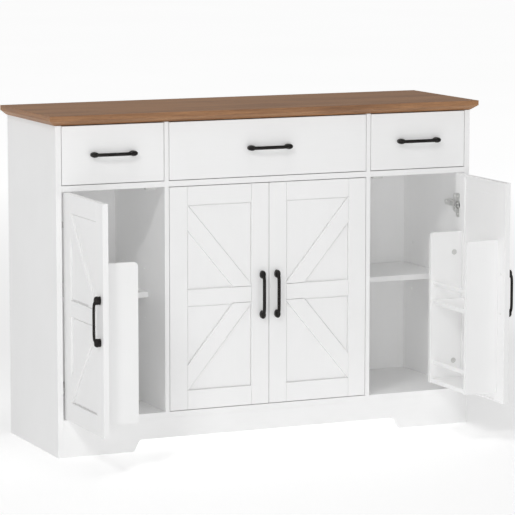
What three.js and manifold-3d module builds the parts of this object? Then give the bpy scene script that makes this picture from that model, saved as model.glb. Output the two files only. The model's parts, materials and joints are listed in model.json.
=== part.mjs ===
// Farmhouse sideboard buffet: three drawers over four doors, with a storage rack on each outer door.
// Millimetres, +X to the right, +Y to the back, +Z up. The origin is on the floor, in the middle of
// the carcass. "Left" and "right" are as seen from the front. The two outer doors stand open.
import * as THREE from 'three';
import { mergeVertices } from 'three/addons/utils/BufferGeometryUtils.js';
import { ConvexGeometry } from 'three/addons/geometries/ConvexGeometry.js';
import Module from 'manifold-3d';

const wasm = await Module();
wasm.setup();

// ---------------------------------------------------------------- driving dimensions
const HEIGHT = 900; // floor to the top of the slab
const WIDTH = 1210; // over the two side panels
const DEPTH = 376; // front edges to rear edges of the side panels
const BOARD = 15; // side panels, bottom, deck, shelves, doors, drawer fronts
const DIVIDER = 12; // thickness of the two dividers
const DIVIDER_X = 295.5; // middle of each divider
const PLINTH = 85; // floor to the underside of the bottom panel
const DECK = 702; // floor to the underside of the deck below the drawers
const GAP = 2; // reveal round every door and drawer front
const REST_GAP = 0.3; // between fastened pieces that turn together

const SLAB = { thickness: 26, edge: 13, bevel: 17, side: 20, front: 14 };
const APRON = { flat: 371, foot: 395, rise: 31, round: 9 };
const BACK = { thickness: 5, recess: 10 };
const LEG = 40; // side of the square centre leg
const SHELF = { top: 408, centreInset: 30, sideInset: 115, clearance: 1 };

const DOOR = {
  bottom: 102, top: 700, stile: 50,
  topRail: 49, bottomRail: 51, midRail: 43, midHeight: 402.5,
};
const BRACE = { foot: 53, drop: 67, tip: 2, recess: 5, backStile: 53, backRecess: 3 };
const PIVOT = { inset: 7, behind: 1.5 }; // hinge axis, from the hinge edge and from the front face
const OPEN = Math.PI / 2; // how far the outer doors stand open

const RACK = { near: 234, far: 28, board: 12, depth: 95, bottom: 127.5, top: 543, round: 11 };
const RACK_SHELF = { tops: { lower: 139.5, upper: 358 }, setBack: 4 };
const ROD = { radius: 6, behindFront: 14, aboveShelf: 44 };

const DRAWER = { board: 12, bottom: 5, bottomLift: 8, low: 733, high: 833, back: 150, sideGap: 12.75 };
const RUNNER = { low: 765, high: 801, front: -160, back: 140, depth: 10, sheet: 1.5 };
// The bar's middle line runs almost flat at `reach`, then dives to `end` inside the feet.
const HANDLE = { spacing: 108, width: 9, thickness: 6.5, reach: 17.8, end: 12, flatness: 8 };
const HANDLE_FOOT = { width: 14.5, length: 22.5, height: 17, rim: 10.5 };
const FOOT_SHOULDERS = [[0.93, 13.6], [0.68, 16.2]]; // share of the half width, height
const DOOR_HANDLE = { inset: 20.5, height: 399.5 };
const HINGE = { heights: { lower: 190, upper: 613 }, proud: 15, front: -163, back: -100, arm: 16 };
const HINGE_PLATE = { thickness: 3, height: 53, front: -145, back: -127 };

const CURVE_SEGMENTS = 6; // per curve of an outline
const BAR_STEPS = 24; // along a handle's bar
const BAR_SEGMENTS = 8;
const FOOT_SIDES = 14;
const ROD_SIDES = 16;
const OVERCUT = 1; // how far a cutter runs past the face that it opens

// ---------------------------------------------------------------- derived places
const FRONT = -DEPTH / 2;
const REAR = DEPTH / 2;
const SIDE_IN = WIDTH / 2 - BOARD; // inner faces of the side panels
const DIVIDER_IN = DIVIDER_X - DIVIDER / 2;
const DIVIDER_OUT = DIVIDER_X + DIVIDER / 2;
const BACK_FRONT = REAR - BACK.recess - BACK.thickness;
const FLOOR_TOP = PLINTH + BOARD;
const DECK_TOP = DECK + BOARD;
const SLAB_BOTTOM = HEIGHT - SLAB.thickness;
const FRONT_BACK = FRONT + BOARD; // rear faces of closed doors and drawer fronts

// ---------------------------------------------------------------- materials
const finish = (color, roughness, metalness = 0) => () =>
  new THREE.MeshStandardMaterial({ color, roughness, metalness });
const white = finish(0xeaeae8, 0.5);
const woodTop = finish(0x8f6b4f, 0.55);
const bronze = finish(0x2a2320, 0.42, 0.85);
const steel = finish(0xb9b9b6, 0.35, 0.9);

// ---------------------------------------------------------------- small tools
const sideboard = new THREE.Group();

function addMesh(parent, name, geometry, material) {
  const mesh = new THREE.Mesh(geometry, material());
  mesh.name = name;
  parent.add(mesh);
  return mesh;
}

// A board given by its lowest and highest corner, in its parent's frame.
function addBoard(parent, name, low, high, material) {
  const size = high.map((value, axis) => value - low[axis]);
  const mesh = addMesh(parent, name, new THREE.BoxGeometry(...size), material);
  mesh.position.set(...low.map((value, axis) => value + size[axis] / 2));
  return mesh;
}

function toSolid(geometry) {
  const bare = geometry.clone();
  bare.deleteAttribute('normal');
  bare.deleteAttribute('uv');
  const merged = mergeVertices(bare);
  return new wasm.Manifold(
    new wasm.Mesh({
      numProp: 3,
      vertProperties: new Float32Array(merged.attributes.position.array),
      triVerts: new Uint32Array(merged.index.array),
    }),
  );
}

function toGeometry(solid) {
  const { vertProperties, triVerts } = solid.getMesh();
  const geometry = new THREE.BufferGeometry();
  geometry.setAttribute('position', new THREE.BufferAttribute(new Float32Array(vertProperties), 3));
  geometry.setIndex(new THREE.BufferAttribute(new Uint32Array(triVerts), 1));
  geometry.computeVertexNormals();
  return geometry;
}

function boxSolid(low, high) {
  const size = high.map((value, axis) => value - low[axis]);
  const geometry = new THREE.BoxGeometry(...size);
  geometry.translate(...low.map((value, axis) => value + size[axis] / 2));
  return toSolid(geometry);
}

function extrude(shape, depth) {
  return new THREE.ExtrudeGeometry(shape, { depth, bevelEnabled: false, curveSegments: CURVE_SEGMENTS });
}

// A prism on an outline in the X-Z plane, from y = near to y = far.
function prismXZ(shape, near, far) {
  const geometry = extrude(shape, far - near);
  geometry.rotateX(Math.PI / 2);
  geometry.translate(0, far, 0);
  return geometry;
}

function polygon(points) {
  return new THREE.Shape(points.map(([x, z]) => new THREE.Vector2(x, z)));
}

// ---------------------------------------------------------------- carcass
// The slab overhangs the front and both sides, and its lower edge is bevelled on those three.
function slabGeometry() {
  const half = WIDTH / 2 + SLAB.side;
  const front = FRONT - SLAB.front;
  const levels = [
    [SLAB_BOTTOM, SLAB.bevel],
    [HEIGHT - SLAB.edge, 0],
    [HEIGHT, 0],
  ];
  const points = [];
  for (const [z, inset] of levels) {
    for (const x of [-half + inset, half - inset]) {
      points.push(new THREE.Vector3(x, front + inset, z));
      points.push(new THREE.Vector3(x, REAR, z));
    }
  }
  return new ConvexGeometry(points);
}

// The apron's lower edge rises between two feet, each ending in a soft S.
function apronGeometry() {
  const { flat, foot, rise, round } = APRON;
  const shape = new THREE.Shape();
  shape.moveTo(-SIDE_IN, PLINTH);
  shape.lineTo(-SIDE_IN, 0);
  shape.lineTo(-foot, 0);
  shape.bezierCurveTo(-foot + round, 0, -flat - round, rise, -flat, rise);
  shape.lineTo(flat, rise);
  shape.bezierCurveTo(flat + round, rise, foot - round, 0, foot, 0);
  shape.lineTo(SIDE_IN, 0);
  shape.lineTo(SIDE_IN, PLINTH);
  shape.closePath();
  return prismXZ(shape, FRONT, FRONT_BACK);
}

function addCarcass() {
  addMesh(sideboard, 'tabletop', slabGeometry(), woodTop);
  for (const [side, sign] of [['left', -1], ['right', 1]]) {
    const span = (near, far) => [Math.min(sign * near, sign * far), Math.max(sign * near, sign * far)];
    const [panelLow, panelHigh] = span(SIDE_IN, WIDTH / 2);
    addBoard(sideboard, `side_panel_${side}`, [panelLow, FRONT, 0], [panelHigh, REAR, SLAB_BOTTOM], white);
    const [dividerLow, dividerHigh] = span(DIVIDER_IN, DIVIDER_OUT);
    addBoard(
      sideboard, `divider_${side}`,
      [dividerLow, FRONT, FLOOR_TOP], [dividerHigh, BACK_FRONT, SLAB_BOTTOM], white,
    );
    const [bayLow, bayHigh] = span(DIVIDER_OUT, SIDE_IN);
    addBoard(sideboard, `deck_${side}`, [bayLow, FRONT, DECK], [bayHigh, BACK_FRONT, DECK_TOP], white);
    addShelf(`shelf_${side}`, bayLow, bayHigh, SHELF.sideInset);
  }
  addBoard(sideboard, 'deck_centre', [-DIVIDER_IN, FRONT, DECK], [DIVIDER_IN, BACK_FRONT, DECK_TOP], white);
  addShelf('shelf_centre', -DIVIDER_IN, DIVIDER_IN, SHELF.centreInset);
  addBoard(sideboard, 'bottom_panel', [-SIDE_IN, FRONT, PLINTH], [SIDE_IN, BACK_FRONT, FLOOR_TOP], white);
  addMesh(sideboard, 'apron', apronGeometry(), white);
  addBoard(
    sideboard, 'back_panel',
    [-SIDE_IN, BACK_FRONT, PLINTH], [SIDE_IN, BACK_FRONT + BACK.thickness, SLAB_BOTTOM], white,
  );
  addBoard(sideboard, 'centre_leg', [-LEG / 2, -LEG / 2, 0], [LEG / 2, LEG / 2, PLINTH], white);
}

// A loose shelf between two uprights, set back from the front.
function addShelf(name, left, right, inset) {
  addBoard(
    sideboard, name,
    [left + SHELF.clearance, FRONT + inset, SHELF.top - BOARD],
    [right - SHELF.clearance, BACK_FRONT - SHELF.clearance, SHELF.top], white,
  );
}

// ---------------------------------------------------------------- handles
// A nearly flat bar on two rounded block feet, along Z, standing out in -Y from y = 0.
function handleGeometry() {
  const half = HANDLE.spacing / 2;
  class BarLine extends THREE.Curve {
    getPoint(t, target = new THREE.Vector3()) {
      const share = 2 * t - 1;
      const dive = (HANDLE.reach - HANDLE.end) * Math.abs(share) ** HANDLE.flatness;
      return target.set(0, dive - HANDLE.reach, share * half);
    }
  }
  const section = new THREE.Shape();
  section.absellipse(0, 0, HANDLE.thickness / 2, HANDLE.width / 2, 0, 2 * Math.PI);
  const bar = new THREE.ExtrudeGeometry(section, {
    steps: BAR_STEPS, curveSegments: BAR_SEGMENTS, bevelEnabled: false, extrudePath: new BarLine(),
  });
  let solid = toSolid(bar);
  const { width, length, height, rim } = HANDLE_FOOT;
  const footRadius = width / 2;
  const shoulders = FOOT_SHOULDERS.map(([share, rise]) => [share * footRadius, rise]);
  const profile = [[0, 0], [footRadius, 0], [footRadius, rim], ...shoulders, [0, height]];
  for (const end of [-half, half]) {
    const foot = new THREE.LatheGeometry(profile.map(([x, y]) => new THREE.Vector2(x, y)), FOOT_SIDES);
    foot.scale(1, -1, length / width);
    foot.index.array.reverse();
    foot.translate(0, 0, end);
    solid = solid.add(toSolid(foot));
  }
  return toGeometry(solid);
}
const sharedHandle = handleGeometry();

// ---------------------------------------------------------------- drawers
// Sides, back and bottom of one drawer; the drawer front closes its open end.
function trayGeometry(left, right) {
  const { board, bottom, bottomLift, low, high, back } = DRAWER;
  const groove = board / 2;
  const floor = low + bottomLift;
  const walls = [
    [[left, FRONT_BACK, low], [left + board, back, high]],
    [[right - board, FRONT_BACK, low], [right, back, high]],
    [[left, back - board, low], [right, back, high]],
    [[left + groove, FRONT_BACK, floor], [right - groove, back - groove, floor + bottom]],
  ];
  return toGeometry(walls.map(([a, b]) => boxSolid(a, b)).reduce((sum, wall) => sum.add(wall)));
}

// A channel along Y whose back is at x = 0 and whose lips point to `sign` X.
function runnerGeometry(sign) {
  const { low, high, front, back, depth, sheet } = RUNNER;
  const shape = polygon([
    [0, low], [sign * depth, low], [sign * depth, low + sheet], [sign * sheet, low + sheet],
    [sign * sheet, high - sheet], [sign * depth, high - sheet], [sign * depth, high], [0, high],
  ]);
  return prismXZ(shape, front, back);
}

function addDrawer(name, left, right) {
  const top = SLAB_BOTTOM - GAP;
  addBoard(
    sideboard, `drawer_front_${name}`,
    [left + GAP, FRONT, DECK_TOP + GAP], [right - GAP, FRONT_BACK, top], white,
  );
  const tray = trayGeometry(left + DRAWER.sideGap, right - DRAWER.sideGap);
  addMesh(sideboard, `drawer_box_${name}`, tray, white);
  const handle = addMesh(sideboard, `drawer_handle_${name}`, sharedHandle, bronze);
  handle.rotation.y = Math.PI / 2;
  handle.position.set((left + right) / 2, FRONT - REST_GAP, (DECK_TOP + GAP + top) / 2);
  for (const [side, x, sign] of [['left', left, 1], ['right', right, -1]]) {
    const runner = addMesh(sideboard, `runner_${name}_${side}`, runnerGeometry(sign), steel);
    runner.position.x = x;
  }
}

// ---------------------------------------------------------------- doors
// A framed leaf: its field is recessed around three rails and two braces that meet at the free
// side. u runs from the hinge edge to the free edge, and `sign` turns it to +X or -X.
function leafGeometry(width, sign) {
  const { bottom, top, stile, topRail, bottomRail, midRail, midHeight } = DOOR;
  const inner = [stile, width - stile];
  const along = (u) => sign * (u - PIVOT.inset);
  const front = -PIVOT.behind;
  const back = front + BOARD;
  const span = (from, to) => [Math.min(along(from), along(to)), Math.max(along(from), along(to))];
  const [left, right] = span(0, width);
  let leaf = boxSolid([left, front, bottom], [right, back, top]);
  const halves = [
    { outer: top - topRail, near: midHeight + midRail / 2, way: 1 },
    { outer: bottom + bottomRail, near: midHeight - midRail / 2, way: -1 },
  ];
  for (const { outer, near, way } of halves) {
    const fields = [
      [[inner[0], outer], [inner[1], outer], [inner[1], near + way * BRACE.tip]],
      [[inner[0], outer - way * BRACE.drop], [inner[1] - BRACE.foot, near], [inner[0], near]],
    ];
    for (const field of fields) {
      const outline = field.map(([u, z]) => [along(u), z]);
      const cutter = prismXZ(polygon(outline), front - OVERCUT, front + BRACE.recess);
      leaf = leaf.subtract(toSolid(cutter));
    }
  }
  const [fieldLeft, fieldRight] = span(BRACE.backStile, width - BRACE.backStile);
  leaf = leaf.subtract(
    boxSolid(
      [fieldLeft, back - BRACE.backRecess, bottom - OVERCUT],
      [fieldRight, back + OVERCUT, top + OVERCUT],
    ),
  );
  return toGeometry(leaf);
}

// A group on the hinge axis, so that the whole door turns about it.
function addDoor(name, hingeX, width, sign, open) {
  const door = new THREE.Group();
  door.position.set(hingeX + sign * PIVOT.inset, FRONT + PIVOT.behind, 0);
  door.rotation.z = -sign * open;
  sideboard.add(door);
  addMesh(door, `door_${name}`, leafGeometry(width, sign), white);
  const handle = addMesh(door, `door_handle_${name}`, sharedHandle, bronze);
  handle.position.set(
    sign * (width - DOOR_HANDLE.inset - PIVOT.inset), -PIVOT.behind - REST_GAP, DOOR_HANDLE.height,
  );
  return door;
}

// ---------------------------------------------------------------- door racks
// A rack's upright: a rectangle with its upper front corner rounded, in the door's Y-Z plane.
function rackSideGeometry(base) {
  const { depth, bottom, top, round, board } = RACK;
  const front = base + depth;
  const shape = new THREE.Shape();
  shape.moveTo(base + REST_GAP, bottom);
  shape.lineTo(front, bottom);
  shape.lineTo(front, top - round);
  shape.absarc(front - round, top - round, round, 0, Math.PI / 2);
  shape.lineTo(base + REST_GAP, top);
  shape.closePath();
  const geometry = extrude(shape, board);
  geometry.rotateX(Math.PI / 2);
  geometry.rotateZ(Math.PI / 2);
  return geometry;
}

function addRack(door, side, sign) {
  const base = BOARD - PIVOT.behind;
  const shelfFront = base + RACK.depth - RACK_SHELF.setBack;
  const along = (u) => sign * (u - PIVOT.inset);
  for (const [place, u] of [['hinge_side', RACK.far], ['free_side', RACK.near]]) {
    const upright = addMesh(door, `rack_${side}_${place}`, rackSideGeometry(base), white);
    upright.position.x = Math.min(along(u), along(u + RACK.board));
  }
  const ends = [along(RACK.far + RACK.board + REST_GAP), along(RACK.near - REST_GAP)];
  const [left, right] = [Math.min(...ends), Math.max(...ends)];
  for (const [level, top] of Object.entries(RACK_SHELF.tops)) {
    addBoard(
      door, `rack_${side}_shelf_${level}`,
      [left, base + REST_GAP, top - RACK.board], [right, shelfFront, top], white,
    );
    const rodGeometry = new THREE.CylinderGeometry(ROD.radius, ROD.radius, right - left, ROD_SIDES);
    const rod = addMesh(door, `rack_${side}_rod_${level}`, rodGeometry, white);
    rod.rotation.z = Math.PI / 2;
    rod.position.set((left + right) / 2, base + RACK.depth - ROD.behindFront, top + ROD.aboveShelf);
  }
}

// ---------------------------------------------------------------- concealed hinges
// The cabinet half of a hinge: a mounting plate on an upright at x = 0, and its arm, towards `sign` X.
function hingeArmGeometry(sign) {
  const { proud, front, back, arm } = HINGE;
  const plate = HINGE_PLATE;
  const across = (depth) => [Math.min(0, sign * depth), Math.max(0, sign * depth)];
  const [armLow, armHigh] = across(proud);
  const [plateLow, plateHigh] = across(plate.thickness);
  const armSolid = boxSolid([armLow, front, -arm / 2], [armHigh, back, arm / 2]);
  const plateSolid = boxSolid(
    [plateLow, plate.front, -plate.height / 2],
    [plateHigh, plate.back, plate.height / 2],
  );
  return toGeometry(armSolid.add(plateSolid));
}

function addHingeArms(name, x, sign) {
  for (const [level, height] of Object.entries(HINGE.heights)) {
    const arm = addMesh(sideboard, `hinge_arm_${name}_${level}`, hingeArmGeometry(sign), steel);
    arm.position.set(x, 0, height);
  }
}

// ---------------------------------------------------------------- assembly
addCarcass();
addDrawer('left', -SIDE_IN, -DIVIDER_OUT);
addDrawer('centre', -DIVIDER_IN, DIVIDER_IN);
addDrawer('right', DIVIDER_OUT, SIDE_IN);

const outerWidth = SIDE_IN - DIVIDER_OUT - 2 * GAP;
const centreWidth = DIVIDER_IN - 1.5 * GAP;
for (const [side, sign] of [['left', 1], ['right', -1]]) {
  const outer = addDoor(side, -sign * (SIDE_IN - GAP), outerWidth, sign, OPEN);
  addRack(outer, side, sign);
  addHingeArms(side, -sign * SIDE_IN, sign);
  addDoor(`centre_${side}`, -sign * (DIVIDER_IN - GAP), centreWidth, sign, 0);
  addHingeArms(`centre_${side}`, -sign * DIVIDER_IN, sign);
}

export default sideboard;
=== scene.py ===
# Farmhouse sideboard buffet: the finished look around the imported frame.
# Metres, +Z up, the front faces -Y, "left" and "right" are as seen from the front.
import json
import math

import bmesh
import bpy
from mathutils import Matrix, Vector


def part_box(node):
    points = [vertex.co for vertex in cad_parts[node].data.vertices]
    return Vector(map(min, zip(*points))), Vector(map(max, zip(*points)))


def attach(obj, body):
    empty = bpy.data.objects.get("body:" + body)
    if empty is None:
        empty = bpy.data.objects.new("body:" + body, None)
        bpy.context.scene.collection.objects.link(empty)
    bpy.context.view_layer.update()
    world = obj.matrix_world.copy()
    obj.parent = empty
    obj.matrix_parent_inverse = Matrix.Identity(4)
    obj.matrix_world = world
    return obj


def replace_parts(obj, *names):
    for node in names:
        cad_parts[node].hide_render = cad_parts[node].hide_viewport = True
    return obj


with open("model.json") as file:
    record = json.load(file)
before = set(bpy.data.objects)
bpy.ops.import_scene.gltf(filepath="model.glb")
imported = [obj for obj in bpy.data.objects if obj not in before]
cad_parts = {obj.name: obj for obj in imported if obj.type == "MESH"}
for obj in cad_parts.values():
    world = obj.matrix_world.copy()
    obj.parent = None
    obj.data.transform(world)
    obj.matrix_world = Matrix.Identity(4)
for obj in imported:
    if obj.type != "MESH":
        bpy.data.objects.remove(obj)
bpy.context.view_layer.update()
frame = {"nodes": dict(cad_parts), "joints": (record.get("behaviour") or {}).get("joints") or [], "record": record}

MM = 0.001

# ---- sizes
EDGE = 0.6 * MM  # rounding of a painted board's edges
FINE_EDGE = 0.25 * MM  # rounding of sheet metal and small plastic
THIN_EDGE = 0.15 * MM  # rounding of the hinges' thin plates
SAME_PLACE = 0.01 * MM

BAYS = ("left", "centre", "right")
SIDES = ("left", "right")
DOORS = ("left", "centre_left", "centre_right", "right")
LEVELS = ("lower", "upper")

STILE = 50 * MM  # of a door leaf, on its front
BACK_STILE = 53 * MM  # and on its back
TOP_RAIL = 49 * MM
BOTTOM_RAIL = 51 * MM
MID_RAIL = 43 * MM
BRACE_DROP = 67 * MM  # a brace's height where it meets the hinge stile
BRACE_FOOT = 53 * MM  # its length along the middle rail
BRACE_TIP = 2 * MM
FIELD_FRONT = 5 * MM  # depths behind the leaf's front face
FIELD_BACK = 12 * MM
FIELD_REBATE = 12 * MM  # the backing's reach behind the outer rails
MID_HEIGHT_SHIFT = 1.5 * MM  # of the middle rail above the leaf's middle
SEAM = 0.7 * MM  # each framing piece stops this short of its neighbour's edge
QUIRK = 2.8 * MM  # width of the fine groove round each field
QUIRK_DEPTH = 4 * MM
STRIP_SINK = 0.1 * MM  # of braces, middle rail and fields into the backing
LIP = 5 * MM  # height of the thin lips along the back of the outer rails

CUP_U = 15.5 * MM  # middle of a hinge cup, from the hinge edge
CUP_RADIUS = 12 * MM
CUP_WALL = 0.8 * MM
CUP_DEPTH = 11.5 * MM
CUP_CLEARANCE = 0.2 * MM

PIN_HOLE = 2.5 * MM  # radius of the shelf pins and their holes
PIN_REACH = 8 * MM
PIN_HOLE_DEPTH = 9 * MM
PIN_ROWS = (336 * MM, 468.5 * MM)  # unused holes below and above each shelf
PIN_COLUMNS = (-46 * MM, 122 * MM)
PIN_COLLAR = 1.5  # of the pin's radius
CENTRE_HOLE_DEPTH = 5 * MM
CENTRE_ROW_SHIFT = 16 * MM  # of the centre bay's spare rows, upwards
CENTRE_COLUMN_SHIFT = 14 * MM  # and of all its holes, backwards

CATCH = (30 * MM, 16 * MM, 7.5 * MM)  # the white magnetic catches under the decks
CATCH_SHIFT = 16.5 * MM  # to its near end, from a divider or from the cabinet's middle
CATCH_FROM_DOOR = 1.2 * MM
CATCH_EDGE = 1.2 * MM
CATCH_TONGUE_HALF = 7 * MM

DRAWER_BOARD = 12 * MM
DRAWER_BOTTOM = 5 * MM
DRAWER_BOTTOM_LIFT = 8 * MM
DRAWER_CAM_INSET = 24 * MM  # behind the drawer front
DRAWER_CAM_HEIGHT = 32 * MM  # of the lower covers, above the box's lower edge
DRAWER_CAM_DROP = 22 * MM  # of the upper covers, below its upper edge

CAM_COVER = 7.5 * MM  # radius
RACK_CAM_HEIGHTS = (185 * MM, 487 * MM)
RACK_CAM_STANDOFF = 23.3 * MM

BACK_SCREWS = 6  # in each divider
BACK_SCREW_INSET = 60 * MM


# ---- mesh tools
def add_object(name, data):
    obj = bpy.data.objects.new(name, data)
    bpy.context.scene.collection.objects.link(obj)
    return obj


def mesh_object(name, vertices, faces):
    """An object with its doubled vertices merged and its faces turned outwards."""
    mesh = bpy.data.meshes.new(name)
    mesh.from_pydata([tuple(v) for v in vertices], [], faces)
    work = bmesh.new()
    work.from_mesh(mesh)
    bmesh.ops.remove_doubles(work, verts=work.verts, dist=SAME_PLACE)
    bmesh.ops.recalc_face_normals(work, faces=work.faces)
    work.to_mesh(mesh)
    work.free()
    return add_object(name, mesh)


def straight(a, b, c):
    """The place of shapes given in plain x, y and z."""
    return Vector((a, b, c))


def prism(name, outline, low, high, place):
    """Extrudes an outline of (a, b) from c = low to c = high; place turns (a, b, c) into a point."""
    count = len(outline)
    vertices = [place(a, b, c) for c in (low, high) for a, b in outline]
    faces = [tuple(range(count)), tuple(range(2 * count - 1, count - 1, -1))]
    for i in range(count):
        j = (i + 1) % count
        faces.append((i, j, j + count, i + count))
    return mesh_object(name, vertices, faces)


def board(name, low, high, place=straight):
    """A flat board between two corners given in place's own directions."""
    outline = [(low[0], low[1]), (high[0], low[1]), (high[0], high[1]), (low[0], high[1])]
    return prism(name, outline, low[2], high[2], place)


def turned(name, profile, centre, axis, sides=32):
    """Turns a profile of (radius, height) round the axis. A radius of 0 closes an end on the axis."""
    turn = Vector((0, 0, 1)).rotation_difference(Vector(axis)).to_matrix()
    vertices, faces = [], []
    for radius, height in profile:
        for k in range(sides):
            angle = 2 * math.pi * k / sides
            local = Vector((radius * math.cos(angle), radius * math.sin(angle), height))
            vertices.append(Vector(centre) + turn @ local)
    for row in range(len(profile) - 1):
        for k in range(sides):
            near, far = row * sides, (row + 1) * sides
            after = (k + 1) % sides
            faces.append((near + k, near + after, far + after, far + k))
    return mesh_object(name, vertices, faces)


def arc(centre, radius, start, end, steps):
    """Points of an arc, with its angles in degrees."""
    points = []
    for k in range(steps + 1):
        angle = math.radians(start + (end - start) * k / steps)
        points.append((centre[0] + radius * math.cos(angle), centre[1] + radius * math.sin(angle)))
    return points


def soften(obj, width=EDGE, segments=2):
    """Rounds every edge sharper than 25 degrees."""
    bevel = obj.modifiers.new("soft_edges", "BEVEL")
    bevel.width = width
    bevel.segments = segments
    bevel.limit_method = "ANGLE"
    bevel.angle_limit = math.radians(25)
    bevel.use_clamp_overlap = True
    return obj


def apply_modifiers(obj):
    graph = bpy.context.evaluated_depsgraph_get()
    mesh = bpy.data.meshes.new_from_object(obj.evaluated_get(graph))
    obj.modifiers.clear()
    obj.data = mesh


def join(name, parts):
    """One object from several, each with its modifiers applied."""
    whole = bmesh.new()
    for part in parts:
        if part.modifiers:
            apply_modifiers(part)
        whole.from_mesh(part.data)
        bpy.data.objects.remove(part)
    mesh = bpy.data.meshes.new(name)
    whole.to_mesh(mesh)
    whole.free()
    return add_object(name, mesh)


def cut(obj, cutters):
    """Cuts a list of closed shapes out of obj for good."""
    cutter = join("cutter", cutters)
    boolean = obj.modifiers.new("cut", "BOOLEAN")
    boolean.operation = "DIFFERENCE"
    boolean.solver = "EXACT"
    boolean.object = cutter
    apply_modifiers(obj)
    bpy.data.objects.remove(cutter)


def smooth(obj, sharp=35):
    """Shades obj smooth apart from edges sharper than this many degrees."""
    for face in obj.data.polygons:
        face.use_smooth = True
    obj.data.set_sharp_from_angle(angle=math.radians(sharp))
    return obj


def finish_piece(obj, body, material):
    """Gives a piece its material, and lets it ride on its body."""
    obj.data.materials.clear()
    obj.data.materials.append(material)
    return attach(obj, body)


# ---- material tools
class Look:
    """A Principled material, with short calls for the nodes that feed it."""

    def __init__(self, name, roughness, metallic=0.0):
        self.material = bpy.data.materials.new(name)
        self.material.use_nodes = True
        self.nodes = self.material.node_tree.nodes
        self.links = self.material.node_tree.links
        self.shader = self.nodes["Principled BSDF"]
        self.shader.inputs["Roughness"].default_value = roughness
        self.shader.inputs["Metallic"].default_value = metallic
        self.place = self.nodes.new("ShaderNodeTexCoord").outputs["Object"]

    def link(self, source, target):
        self.links.new(source, target)

    def stretched(self, scale, source=None):
        mapping = self.nodes.new("ShaderNodeMapping")
        mapping.inputs["Scale"].default_value = scale
        self.link(source or self.place, mapping.inputs["Vector"])
        return mapping.outputs["Vector"]

    def noise(self, vector, scale, detail=4.0, roughness=0.5, distortion=0.0):
        node = self.nodes.new("ShaderNodeTexNoise")
        node.inputs["Scale"].default_value = scale
        node.inputs["Detail"].default_value = detail
        node.inputs["Roughness"].default_value = roughness
        node.inputs["Distortion"].default_value = distortion
        self.link(vector, node.inputs["Vector"])
        return node.outputs["Fac"]

    def ramp(self, source, stops):
        node = self.nodes.new("ShaderNodeValToRGB")
        elements = node.color_ramp.elements
        while len(elements) < len(stops):
            elements.new(0.5)
        for element, (position, color) in zip(elements, stops):
            element.position = position
            element.color = (*color, 1.0)
        self.link(source, node.inputs["Fac"])
        return node.outputs["Color"]

    def remap(self, source, low, high, to_low, to_high):
        node = self.nodes.new("ShaderNodeMapRange")
        values = {"From Min": low, "From Max": high, "To Min": to_low, "To Max": to_high}
        for key, value in values.items():
            node.inputs[key].default_value = value
        self.link(source, node.inputs["Value"])
        return node.outputs["Result"]

    def math(self, operation, first, second):
        """first and second are numbers or sockets."""
        node = self.nodes.new("ShaderNodeMath")
        node.operation = operation
        for socket, value in zip(node.inputs, (first, second)):
            if isinstance(value, (int, float)):
                socket.default_value = value
            else:
                self.link(value, socket)
        return node.outputs["Value"]

    def mix(self, factor, first, second):
        """factor, first and second are numbers, colours or sockets."""
        node = self.nodes.new("ShaderNodeMix")
        node.data_type = "RGBA"
        sockets = (node.inputs[0], node.inputs[6], node.inputs[7])
        for socket, value in zip(sockets, (factor, first, second)):
            if isinstance(value, (int, float)):
                socket.default_value = value
            elif isinstance(value, tuple):
                socket.default_value = (*value, 1.0)
            else:
                self.link(value, socket)
        return node.outputs[2]

    def bump(self, height, distance, strength):
        node = self.nodes.new("ShaderNodeBump")
        node.inputs["Distance"].default_value = distance
        node.inputs["Strength"].default_value = strength
        self.link(height, node.inputs["Height"])
        self.link(node.outputs["Normal"], self.shader.inputs["Normal"])

    def color(self, source):
        self.link(source, self.shader.inputs["Base Color"])

    def roughness(self, source):
        self.link(source, self.shader.inputs["Roughness"])


# ---- materials
def white_paint(name, grain, tone=1.0):
    """Satin white lacquer on board: faint fibres along the grain, faint clouds of tone and gloss."""
    look = Look(name, 0.45)
    light = (0.93 * tone, 0.93 * tone, 0.93 * tone)
    dark = (0.905 * tone, 0.905 * tone, 0.903 * tone)
    clouds = look.noise(look.place, 5.0, detail=3.0)
    fibres = look.noise(look.stretched(grain), 260.0, detail=3.0, roughness=0.6)
    tones = look.math("ADD", look.math("MULTIPLY", clouds, 0.7), look.math("MULTIPLY", fibres, 0.3))
    look.color(look.ramp(tones, [(0.35, dark), (0.65, light)]))
    peel = look.noise(look.place, 700.0, detail=2.0)
    look.roughness(look.remap(look.noise(look.place, 14.0), 0.3, 0.7, 0.40, 0.52))
    height = look.math("ADD", look.math("MULTIPLY", fibres, 0.6), look.math("MULTIPLY", peel, 0.4))
    look.bump(height, 0.05 * MM, 0.6)
    return look.material


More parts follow.
